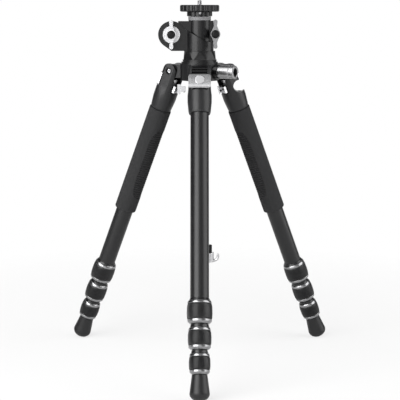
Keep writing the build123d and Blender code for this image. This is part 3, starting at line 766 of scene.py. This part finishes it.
def cameraPlatform():
    # rim radius less a rounded scallop wave; the top face sinks by the raised half of a sine over its radius
    look = platformLook
    rings = ringsOf("camera_platform", headPlace)
    bottom, bore, _ = rings[0]
    top = rings[-1][0]
    outer = max(ring[2] for ring in rings)
    flat = outer - look["bevel"]
    rim = softened([
        (bore, bottom), (flat, bottom), (outer, bottom + look["bevel"]), (outer, top - look["bevel"]),
        (flat, top), (bore, top),
    ], look["edge"])
    face = np.linspace(outer - look["ringInset"], bore + look["ringBore"], look["ringSteps"])
    wave = np.clip(np.sin((face - bore) / (outer - bore) * look["rings"] * 2 * math.pi), 0, 1)
    ringed = np.stack([face, top - look["ringDepth"] * wave], -1)
    past = np.argmax((rim[:, 1] > top - nearly) & (rim[:, 0] < face[-1]))    # the rim goes on from here
    points = turned(np.concatenate([rim[:past], ringed, rim[past:]]), look["scallops"] * look["perScallop"])
    notch = np.clip(np.cos(look["scallops"] * axisAngle(points)), 0, 1) ** look["scallopCurve"]
    band = look["scallopBand"]
    near = np.clip((axisDistance(points) - (outer - band)) / band, 0, 1)
    scalloped = ripple(points, -look["scallopDepth"] * notch * near)
    skin("camera_platform", scalloped, headPlace, finish="satin_black")


def threadWave(points, pitch):
    # a triangular wave that climbs one pitch a turn
    phase = (points[..., 2] / pitch - axisAngle(points) / (2 * math.pi)) % 1
    return np.abs(2 * phase - 1)


# Camera screw: a plain shank under the platform and a threaded stud above it.
screwLook = {
    "pitch": 1.27 * mm, "depth": 0.55 * mm, "steps": 70, "tip": 0.8 * mm, "tipDrop": 0.7 * mm,
    "runIn": 0.2 * mm, "runOut": 0.7 * mm, "step": 0.02 * mm, "round": 48,
}


def cameraScrew():
    # the stud's radius less the thread wave, between the run-in and the tip
    look = screwLook
    rings = ringsOf("camera_screw", headPlace)
    bottom, _, shank = rings[0]
    face = rings[1][0]
    top, _, stud = rings[-1]
    height = np.linspace(face, top - look["tip"], look["steps"])
    profile = np.concatenate([
        [(0, bottom), (shank, bottom), (shank, face - look["step"])],
        np.stack([np.full(look["steps"], stud), height], -1),
        [(stud - look["tipDrop"], top), (0, top)],
    ])
    points = turned(profile, look["round"])
    threaded = (points[..., 2] > face + look["runIn"]) & (points[..., 2] < top - look["runOut"])
    depth = look["depth"] * threadWave(points, look["pitch"]) * threaded
    skin("camera_screw", ripple(points, -depth), headPlace, closed=False)


# Accessory socket: silver barrel with a groove and a chamfered mouth, and a dark threaded insert in it.
socketLook = {
    "grooveStart": 9 * mm, "grooveEnd": 7 * mm, "grooveDepth": 0.5 * mm, "grooveSlope": 0.4 * mm,
    "rim": 1.2 * mm, "seat": 1.2 * mm, "mouth": 0.7 * mm, "floorGap": 0.3 * mm, "edge": 0.3 * mm, "round": 96,
}
insertLook = {
    "pitch": 1.5875 * mm, "depth": 0.5 * mm, "steps": 90, "wall": 1.15 * mm, "inset": 0.6 * mm,
    "base": 0.2 * mm, "runOut": 0.5 * mm, "round": 72,
}


def accessorySocket():
    # the barrel's profile turned round the socket's axis; the insert's bore grows by the thread wave
    mount = next(mount for mount in frame["record"]["mounts"] if mount["name"] == "accessory_socket")
    along = np.array(mount["axis"])
    origin = np.array([columnFoot[0], columnFoot[1], mount["pos_m"][2]])
    side = np.array([-along[1], along[0], 0.0])
    place = (origin, np.array([side, np.array([0.0, 0.0, 1.0]), along]))
    rings = ringsOf("accessory_socket", place)
    start, _, outer = rings[0]
    floor = rings[1][0]
    end, bore, _ = rings[-1]
    look = socketLook
    grooveStart = end - look["grooveStart"]
    grooveEnd = end - look["grooveEnd"]
    sunk = outer - look["grooveDepth"]
    seat = bore + look["seat"]
    bed = floor - look["floorGap"]
    barrel = softened([
        (0, start), (outer, start), (outer, grooveStart), (sunk, grooveStart + look["grooveSlope"]),
        (sunk, grooveEnd - look["grooveSlope"]), (outer, grooveEnd), (outer, end - look["rim"]),
        (outer - look["rim"], end), (seat + look["mouth"], end), (seat, end - look["mouth"]),
        (seat, bed), (0, bed),
    ], look["edge"], closed=False)
    skin("accessory_socket", turned(barrel, look["round"]), place, closed=False, finish="rough_silver")
    look = insertLook
    mouth = end - look["inset"]
    wall = bore + look["wall"]
    base = floor - look["base"]
    height = np.linspace(mouth, floor + look["base"], look["steps"])
    boreLine = np.stack([np.full(look["steps"], bore), height], -1)
    profile = np.concatenate([[(wall, mouth)], boreLine, [(0, floor), (0, base), (wall, base)]])
    points = turned(profile, look["round"])
    inBore = (axisDistance(points) < bore + nearly) & (points[..., 2] > floor + look["runOut"])
    depth = look["depth"] * threadWave(points, look["pitch"]) * inBore
    body = bodyOf["accessory_socket"]
    trim("socket_insert", ripple(points, depth), place, body, "cap_black", "guide_black", closed=True)


# Weight hook: bent wire with a rounded tip, and a bead on its shank.
hookLook = {
    "shankSteps": 12, "bendSteps": 60, "tipSteps": 6, "noseSteps": 7, "round": 24, "beadStep": 0.5 * mm,
    "beadEdge": 0.9 * mm, "beadRound": 48,
}


def weightHook():
    # shank straight down, half a circle, then the tip straight up; the wire narrows to a round end
    look = hookLook
    swivel = np.array(joints["hook_swivel"]["pos_m"])
    place = (swivel * (1, 1, 0), np.eye(3))
    low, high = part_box("weight_hook")
    own = cornersOf("weight_hook", place)
    top = high[2]
    tip = own[own[:, 0] > own[:, 0].max() - nearly][:, 2].max()
    wire = own[own[:, 2] > top - nearly][:, 0].max()
    bend = (own[:, 0].max() - wire) / 2
    bendHeight = low[2] + wire + bend
    tipHeight = tip - wire
    swing = np.linspace(0, math.pi, look["bendSteps"])
    nose = np.linspace(0, math.pi / 2, look["noseSteps"] + 1)[1:]
    downX = np.zeros(look["shankSteps"])
    downZ = np.linspace(top, bendHeight, look["shankSteps"], endpoint=False)
    upX = np.full(look["tipSteps"] + look["noseSteps"], 2 * bend)
    upZ = np.concatenate([np.linspace(bendHeight, tipHeight, look["tipSteps"] + 1)[1:],
                          tipHeight + wire * np.sin(nose)])
    x = np.concatenate([[0], downX, bend * (1 - np.cos(swing)), upX])    # the first point closes the top
    z = np.concatenate([[top + nearly / 10], downZ, bendHeight - bend * np.sin(swing), upZ])
    fullSteps = look["shankSteps"] + look["bendSteps"] + look["tipSteps"]
    radius = np.concatenate([[0], np.full(fullSteps, wire), wire * np.cos(nose)])
    skin("weight_hook", swept(np.stack([x, z], -1), radius, look["round"]), place, closed=False)
    onBead = own[(axisDistance(own) > wire + look["beadStep"]) & (own[:, 0] < bend)]
    bead = axisDistance(onBead).max()
    beadLow, beadHigh = onBead[:, 2].min(), onBead[:, 2].max()
    corners = [(wire, beadLow), (bead, beadLow), (bead, beadHigh), (wire, beadHigh)]
    rounded = turned(softened(corners, look["beadEdge"]), look["beadRound"])
    trim("hook_bead", rounded, place, "hook", "steel", closed=True)


# Knob caps: plain domed discs with a shallow ring.
capLook = {
    "dome": 0.55, "crown": 0.94, "ring": 0.25 * mm, "ringAt": 0.72, "ringWidth": 0.05, "shoulder": 0.98,
    "shoulderHeight": 0.36, "steps": 40, "round": 64,
}


def knobCap(knob):
    # height = rise * (1 - dome * r^4), less a narrow bell for the ring
    node = f"{knob}_knob_cap"
    look = capLook
    place = (np.array(joints[f"{knob}_knob_turn"]["pos_m"]), facingFront)
    rings = ringsOf(node, place)
    bottom, _, outer = rings[0]
    rise = rings[-1][0] - bottom
    r = np.linspace(0, 1, look["steps"])
    height = rise * (1 - look["dome"] * r ** 4)
    height -= look["ring"] * np.exp(-((r - look["ringAt"]) / look["ringWidth"]) ** 2)
    crown = np.stack([outer * look["crown"] * r, bottom + height], -1)
    shoulder = (outer * look["shoulder"], bottom + look["shoulderHeight"] * rise)
    profile = np.concatenate([crown, [shoulder, (outer, bottom), (0, bottom)]])
    skin(node, turned(profile, look["round"]), place, closed=False)


# Set screw in the neck, under the platform's rim.
setScrewLook = {
    "radius": 1.7 * mm, "rise": 0.5 * mm, "key": 0.8 * mm, "keyDepth": 0.8 * mm, "sink": 2 * mm,
    "across": 0.6 * mm, "inset": 0.9 * mm, "drop": 1.9 * mm, "edge": 0.2 * mm, "round": 32,
}


def neckScrew():
    # a stepped profile with a round key hole, turned round an axis that points to the front
    look = setScrewLook
    low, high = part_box("column_neck")
    centre = np.array([look["across"], low[1] + look["inset"], high[2] - look["drop"]])
    face = look["inset"] + look["rise"]
    keyFloor = face - look["keyDepth"]
    corners = [
        (0, -look["sink"]), (look["radius"], -look["sink"]), (look["radius"], face), (look["key"], face),
        (look["key"], keyFloor), (0, keyFloor),
    ]
    profile = softened(corners, look["edge"], closed=False)
    trim("neck_set_screw", turned(profile, look["round"]), (centre, facingFront), "column", "steel")


columnRing("column_tube")
columnRing("bearing_ring")
columnNeck()
cameraPlatform()
cameraScrew()
accessorySocket()
weightHook()
knobCap("pivot")
knobCap("clamp")
neckScrew()
print("column, platform, hook and trim dressed")


# Studio: a white floor and backdrop, in a dim room with a grey ceiling and a grey wall behind the camera.
studio = {
    "floorHalf": 6.0, "paint": 0.86, "fadeStart": 0.30, "fadeEnd": 0.9, "shadow": 0.26, "mirrored": 0.5,
    "room": 0.05, "wall": 0.42, "ceiling": 0.30, "backdropStart": 0.8, "backdropFull": 0.95,
}
white = (1, 1, 1, 1)


def studioFloor():
    # to the eye the floor is mostly clear and shows the white backdrop, so legs drawn out below it show too;
    # its painted share keeps the shadow, and metal sees it glow further out
    half = studio["floorHalf"]
    mesh = bpy.data.meshes.new("floor")
    corners = [(-half, -half, 0), (half, -half, 0), (half, half, 0), (-half, half, 0)]
    mesh.from_pydata(corners, [], [(0, 1, 2, 3)])
    floor = bpy.data.objects.new("floor", mesh)
    bpy.context.scene.collection.objects.link(floor)
    material, graph = newFinish("studioFloor")
    place = graph.node("ShaderNodeTexCoord", out="Object")
    away = graph.node("ShaderNodeVectorMath", {"operation": "LENGTH"}, {0: place}, out=1)
    span = studio["fadeEnd"] - studio["fadeStart"]
    fade = graph.node("ShaderNodeClamp", sockets={"Value": (away - studio["fadeStart"]) * (1 / span)})
    seen = graph.node("ShaderNodeLightPath", out="Is Camera Ray")
    mirrored = graph.node("ShaderNodeLightPath", out="Is Glossy Ray")
    clear = seen * (1 - studio["shadow"] * (1 - fade))
    paint = graph.node("ShaderNodeBsdfDiffuse", sockets={"Color": (studio["paint"],) * 3 + (1,)})
    glow = graph.node("ShaderNodeEmission", sockets={"Color": white, "Strength": 1.0})
    glass = graph.node("ShaderNodeBsdfTransparent", sockets={"Color": white})
    glowShare = mirrored * (studio["mirrored"] * fade)
    lit = graph.node("ShaderNodeMixShader", sockets={0: glowShare, 1: paint, 2: glow})
    mixed = graph.node("ShaderNodeMixShader", sockets={0: clear, 1: lit, 2: glass})
    graph.node("ShaderNodeOutputMaterial", sockets={"Surface": mixed})
    mesh.materials.append(material)


def studioRoom():
    # the backdrop behind the tripod is white to the eye and to metal; the wall behind the camera and the
    # ceiling are grey and the rest of the room is dim
    world = bpy.data.worlds.new("studio")
    world.use_nodes = True
    world.node_tree.nodes.clear()
    graph = Field(world.node_tree)
    way = graph.node("ShaderNodeTexCoord", out="Generated")
    back = graph.node("ShaderNodeSeparateXYZ", sockets={"Vector": way}, out="Y")
    above = graph.node("ShaderNodeSeparateXYZ", sockets={"Vector": way}, out="Z")
    front = graph.node("ShaderNodeClamp", sockets={"Value": -1 * back})
    up = graph.node("ShaderNodeClamp", sockets={"Value": above})
    behind = graph.node("ShaderNodeMapRange", {"interpolation_type": "SMOOTHSTEP"}, {
        "Value": back, "From Min": studio["backdropStart"], "From Max": studio["backdropFull"]})
    seen = graph.node("ShaderNodeLightPath", out="Is Camera Ray")
    mirrored = graph.node("ShaderNodeLightPath", out="Is Glossy Ray")
    through = graph.node("ShaderNodeLightPath", out="Is Transmission Ray")
    bright = graph.node("ShaderNodeClamp", sockets={"Value": seen + (mirrored + through) * behind})
    dim = studio["room"] + studio["wall"] * front * front + studio["ceiling"] * up * up
    level = dim + bright * (1 - dim)
    sky = graph.node("ShaderNodeBackground", sockets={"Color": white, "Strength": level})
    graph.node("ShaderNodeOutputWorld", sockets={"Surface": sky})
    bpy.context.scene.world = world


# Lamps: soft lights at both sides and a dim panel in front; azimuth in degrees from the camera's side,
# positive to the right.
lamps = {
    "leftSoftbox": {"azimuth": -42, "height": 0.95, "distance": 1.7, "size": (1.6, 1.7), "power": 43},
    "leftTop": {"azimuth": -72, "height": 1.75, "distance": 0.95, "size": (0.6, 0.9), "power": 6},
    "rightSoftbox": {"azimuth": 78, "height": 1.0, "distance": 1.8, "size": (1.8, 2.0), "power": 31},
    "frontPanel": {"azimuth": 0, "height": 0.5, "distance": 2.6, "size": (1.6, 1.3), "power": 6},
}
lampAim = 0.28           # height on the column that every lamp points at


def softbox(name, look):
    turn = math.radians(look["azimuth"])
    light = bpy.data.lights.new(name, "AREA")
    light.shape = "RECTANGLE"
    light.size, light.size_y = look["size"]
    light.energy = look["power"]
    box = bpy.data.objects.new(name, light)
    distance = look["distance"]
    box.location = columnFoot + (distance * math.sin(turn), -distance * math.cos(turn), look["height"])
    tilt = math.atan2(look["height"] - lampAim, distance)
    box.rotation_euler = (math.pi / 2 - tilt, 0, turn)
    bpy.context.scene.collection.objects.link(box)


studioFloor()
studioRoom()
for name, look in lamps.items():
    softbox(name, look)
print("studio lit:", len(lamps), "lamps")

# The eye stands where the camera fitted to the photo stands; pitch in degrees, lengths in metres.
eye = {
    "distance": 1.79, "height": 0.5286, "pitch": 9.153, "focalPixels": 1214.8, "framePixels": 400.0,
    "shift": 0.0009, "sensor": 36.0,
}


def camera():
    view = bpy.data.cameras.new("eye")
    view.sensor_width = eye["sensor"]
    view.lens = eye["sensor"] * eye["focalPixels"] / eye["framePixels"]
    view.shift_x = eye["shift"]
    stand = bpy.data.objects.new("eye", view)
    stand.location = columnFoot + (0, -eye["distance"], eye["height"])
    stand.rotation_euler = (math.radians(90 - eye["pitch"]), 0, 0)
    bpy.context.scene.collection.objects.link(stand)
    bpy.context.scene.camera = stand


camera()
bpy.context.scene.view_settings.view_transform = "Standard"
